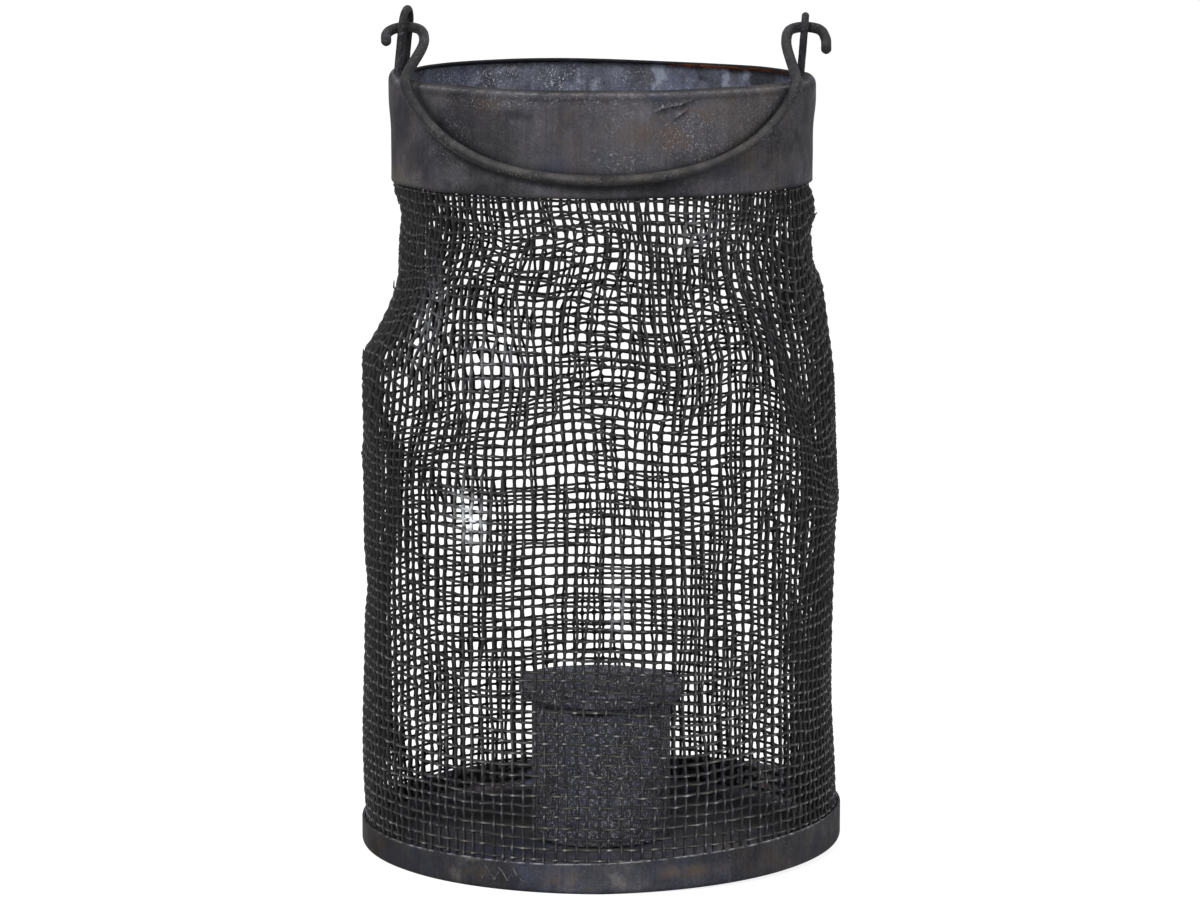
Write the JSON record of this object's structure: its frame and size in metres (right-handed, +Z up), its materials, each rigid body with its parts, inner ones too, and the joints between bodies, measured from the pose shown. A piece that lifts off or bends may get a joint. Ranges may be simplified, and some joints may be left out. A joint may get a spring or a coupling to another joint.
{
  "type": "hurricane lantern",
  "caption": "Wire-mesh hurricane candle lantern: round tray with a candle socket, dented woven sleeve, sheet collar and a swinging wire bail.",
  "frame": {"origin": "middle of the tray's foot ring on the table, at the bottom centre of the bounding box", "axes": "+Z up the lantern's axis, +X to the right through the eyes, -Y the front where the bail lies"},
  "size_m": [0.138, 0.138, 0.2394],
  "materials": {
    "zinc_sheet": "antique",
    "tray_zinc": "antique",
    "iron_wire": "satin",
    "mesh_wire": "matte"
  },
  "bodies": {
    "lantern": {"base_tray": "tray_zinc", "candle_socket": "zinc_sheet", "drip_ring": "zinc_sheet", "collar": "zinc_sheet", "eye_left": "iron_wire", "eye_right": "iron_wire", "warp_wire_01": "mesh_wire", "warp_wire_02": "mesh_wire", "warp_wire_03": "mesh_wire", "warp_wire_04": "mesh_wire", "warp_wire_05": "mesh_wire", "warp_wire_06": "mesh_wire", "warp_wire_07": "mesh_wire", "warp_wire_08": "mesh_wire", "warp_wire_09": "mesh_wire", "warp_wire_10": "mesh_wire", "warp_wire_11": "mesh_wire", "warp_wire_12": "mesh_wire", "warp_wire_13": "mesh_wire", "warp_wire_14": "mesh_wire", "warp_wire_15": "mesh_wire", "warp_wire_16": "mesh_wire", "warp_wire_17": "mesh_wire", "warp_wire_18": "mesh_wire", "warp_wire_19": "mesh_wire", "warp_wire_20": "mesh_wire", "warp_wire_21": "mesh_wire", "warp_wire_22": "mesh_wire", "warp_wire_23": "mesh_wire", "warp_wire_24": "mesh_wire", "warp_wire_25": "mesh_wire", "warp_wire_26": "mesh_wire", "warp_wire_27": "mesh_wire", "warp_wire_28": "mesh_wire", "warp_wire_29": "mesh_wire", "warp_wire_30": "mesh_wire", "warp_wire_31": "mesh_wire", "warp_wire_32": "mesh_wire", "warp_wire_33": "mesh_wire", "warp_wire_34": "mesh_wire", "weft_wire_01": "mesh_wire", "weft_wire_02": "mesh_wire", "weft_wire_03": "mesh_wire", "weft_wire_04": "mesh_wire", "weft_wire_05": "mesh_wire", "weft_wire_06": "mesh_wire", "weft_wire_07": "mesh_wire", "weft_wire_08": "mesh_wire", "weft_wire_09": "mesh_wire", "weft_wire_10": "mesh_wire", "weft_wire_11": "mesh_wire", "weft_wire_12": "mesh_wire", "weft_wire_13": "mesh_wire", "weft_wire_14": "mesh_wire", "weft_wire_15": "mesh_wire"},
    "bail": {"bail": "iron_wire"}
  },
  "joints": [
    {"name": "bail_swing", "type": "hinge", "parent": "lantern", "child": "bail", "pos_m": [0, 0, 0.2332], "axis": [-1, 0, 0], "range_deg": [0, 228]}
  ]
}
